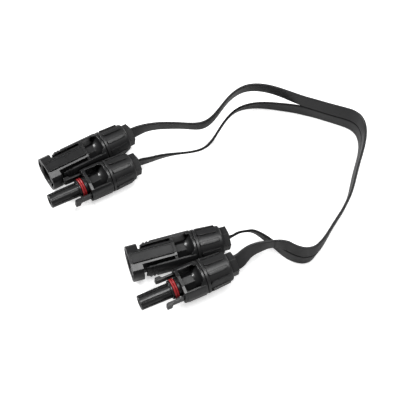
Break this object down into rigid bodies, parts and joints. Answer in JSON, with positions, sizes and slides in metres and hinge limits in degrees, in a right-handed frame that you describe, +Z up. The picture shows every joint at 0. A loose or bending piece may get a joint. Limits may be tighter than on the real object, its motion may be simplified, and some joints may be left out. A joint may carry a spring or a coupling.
{
  "type": "flat solar extension lead",
  "caption": "Flat feed-through lead: two joined conductor strips that split at both ends, each ending in a shell plug and a probe plug with latch fingers, seal and ribbed gland nut.",
  "frame": {"origin": "centre of the lead's footprint at its lowest point", "axes": "+X from the plugs toward the bend of the ribbon, +Y from the lower plug pair to the upper pair, +Z up from the surface it lies on"},
  "size_m": [0.1914, 0.156, 0.0221],
  "materials": {
    "plug_plastic": "satin moulded polyamide",
    "nut_plastic": "satin moulded polyamide, slightly coarser",
    "strip_jacket": "smooth flexible jacket",
    "red_seal": "silicone rubber",
    "bush_rubber": "soft rubber",
    "contact_plate": "silver plating",
    "spring_steel": "sprung stainless strip",
    "basket_plastic": "moulded",
    "copper_strand": "stranded copper"
  },
  "bodies": {
    "lead": {"twin_jacket": "strip_jacket", "conductor_upper": "copper_strand", "conductor_lower": "copper_strand", "lead_jacket_shell1": "strip_jacket", "lead_jacket_probe1": "strip_jacket", "lead_jacket_shell2": "strip_jacket", "lead_jacket_probe2": "strip_jacket", "lead_conductor_shell1": "copper_strand", "lead_conductor_probe1": "copper_strand", "lead_conductor_shell2": "copper_strand", "lead_conductor_probe2": "copper_strand"},
    "shell1_plug": {"shell1_housing": "plug_plastic", "shell1_pin_contact": "contact_plate", "shell1_retaining_clip": "spring_steel", "shell1_seal_bushing": "bush_rubber"},
    "shell1_basket": {"shell1_clamp_basket": "basket_plastic"},
    "shell1_nut": {"shell1_gland_nut": "nut_plastic"},
    "probe1_plug": {"probe1_housing": "plug_plastic", "probe1_socket_contact": "contact_plate", "probe1_retaining_clip": "spring_steel", "probe1_seal_bushing": "bush_rubber", "probe1_o_ring": "red_seal"},
    "probe1_basket": {"probe1_clamp_basket": "basket_plastic"},
    "probe1_nut": {"probe1_gland_nut": "nut_plastic"},
    "probe1_latch_left": {"probe1_latch_left": "plug_plastic"},
    "probe1_latch_right": {"probe1_latch_right": "plug_plastic"},
    "shell2_plug": {"shell2_housing": "plug_plastic", "shell2_pin_contact": "contact_plate", "shell2_retaining_clip": "spring_steel", "shell2_seal_bushing": "bush_rubber"},
    "shell2_basket": {"shell2_clamp_basket": "basket_plastic"},
    "shell2_nut": {"shell2_gland_nut": "nut_plastic"},
    "probe2_plug": {"probe2_housing": "plug_plastic", "probe2_socket_contact": "contact_plate", "probe2_retaining_clip": "spring_steel", "probe2_seal_bushing": "bush_rubber", "probe2_o_ring": "red_seal"},
    "probe2_basket": {"probe2_clamp_basket": "basket_plastic"},
    "probe2_nut": {"probe2_gland_nut": "nut_plastic"},
    "probe2_latch_left": {"probe2_latch_left": "plug_plastic"},
    "probe2_latch_right": {"probe2_latch_right": "plug_plastic"}
  },
  "joints": [
    {"name": "shell1_lead_flex", "type": "hinge", "parent": "lead", "child": "shell1_plug", "pos_m": [-0.03142, 0.0469, 0.01006], "axis": [0, 0, 1], "range_deg": [-30, 0], "deforming": ["lead_jacket_shell1", "lead_conductor_shell1"]},
    {"name": "shell1_gland_travel", "type": "slide", "parent": "shell1_plug", "child": "shell1_basket", "axis": [0.8412, 0.5408, 0], "range_m": [0, 0.0045]},
    {"name": "shell1_nut_turn", "type": "hinge", "parent": "shell1_basket", "child": "shell1_nut", "pos_m": [-0.04323, 0.04162, 0.00967], "axis": [0.8412, 0.5408, 0], "range_deg": [0, 1080]},
    {"name": "probe1_lead_flex", "type": "hinge", "parent": "lead", "child": "probe1_plug", "pos_m": [-0.02621, 0.024, 0.00977], "axis": [0, 0, 1], "range_deg": [0, 20], "deforming": ["lead_jacket_probe1", "lead_conductor_probe1"]},
    {"name": "probe1_gland_travel", "type": "slide", "parent": "probe1_plug", "child": "probe1_basket", "axis": [0.8707, 0.4918, 0], "range_m": [0, 0.0045]},
    {"name": "probe1_nut_turn", "type": "hinge", "parent": "probe1_basket", "child": "probe1_nut", "pos_m": [-0.03828, 0.01923, 0.00992], "axis": [0.8707, 0.4918, 0], "range_deg": [0, 1080]},
    {"name": "probe1_latch_left_flex", "type": "hinge", "parent": "probe1_plug", "child": "probe1_latch_left", "pos_m": [-0.07023, 0.0091, 0.01138], "axis": [0.1022, -0.181, 0.9781], "range_deg": [0, 4]},
    {"name": "probe1_latch_right_flex", "type": "hinge", "parent": "probe1_plug", "child": "probe1_latch_right", "pos_m": [-0.06345, -0.00291, 0.00845], "axis": [-0.1022, 0.181, -0.9781], "range_deg": [0, 4]},
    {"name": "shell2_lead_flex", "type": "hinge", "parent": "lead", "child": "shell2_plug", "pos_m": [0.02472, -0.02709, 0.00866], "axis": [0, 0, 1], "range_deg": [-15, 0], "deforming": ["lead_jacket_shell2", "lead_conductor_shell2"]},
    {"name": "shell2_gland_travel", "type": "slide", "parent": "shell2_plug", "child": "shell2_basket", "axis": [0.9515, 0.3075, 0], "range_m": [0, 0.0045]},
    {"name": "shell2_nut_turn", "type": "hinge", "parent": "shell2_basket", "child": "shell2_nut", "pos_m": [0.01312, -0.03257, 0.00992], "axis": [0.9515, 0.3075, 0], "range_deg": [0, 1080]},
    {"name": "probe2_lead_flex", "type": "hinge", "parent": "lead", "child": "probe2_plug", "pos_m": [0.02624, -0.04267, 0.01321], "axis": [0, 0, 1], "range_deg": [0, 30], "deforming": ["lead_jacket_probe2", "lead_conductor_probe2"]},
    {"name": "probe2_gland_travel", "type": "slide", "parent": "probe2_plug", "child": "probe2_basket", "axis": [0.9067, 0.4193, 0.0447], "range_m": [0, 0.0045]},
    {"name": "probe2_nut_turn", "type": "hinge", "parent": "probe2_basket", "child": "probe2_nut", "pos_m": [0.01648, -0.05115, 0.01325], "axis": [0.9067, 0.4193, 0.0447], "range_deg": [0, 1080]},
    {"name": "probe2_latch_left_flex", "type": "hinge", "parent": "probe2_plug", "child": "probe2_latch_left", "pos_m": [-0.01622, -0.05867, 0.01325], "axis": [0.0476, -0.2071, 0.9772], "range_deg": [0, 4]},
    {"name": "probe2_latch_right_flex", "type": "hinge", "parent": "probe2_plug", "child": "probe2_latch_right", "pos_m": [-0.01031, -0.07113, 0.01032], "axis": [-0.0476, 0.2071, -0.9772], "range_deg": [0, 4]}
  ],
  "couplings": [
    {"joint": "shell1_gland_travel", "follows": "shell1_nut_turn", "m_per_rad": 0.00023873},
    {"joint": "probe1_gland_travel", "follows": "probe1_nut_turn", "m_per_rad": 0.00023873},
    {"joint": "shell2_gland_travel", "follows": "shell2_nut_turn", "m_per_rad": 0.00023873},
    {"joint": "probe2_gland_travel", "follows": "probe2_nut_turn", "m_per_rad": 0.00023873}
  ]
}
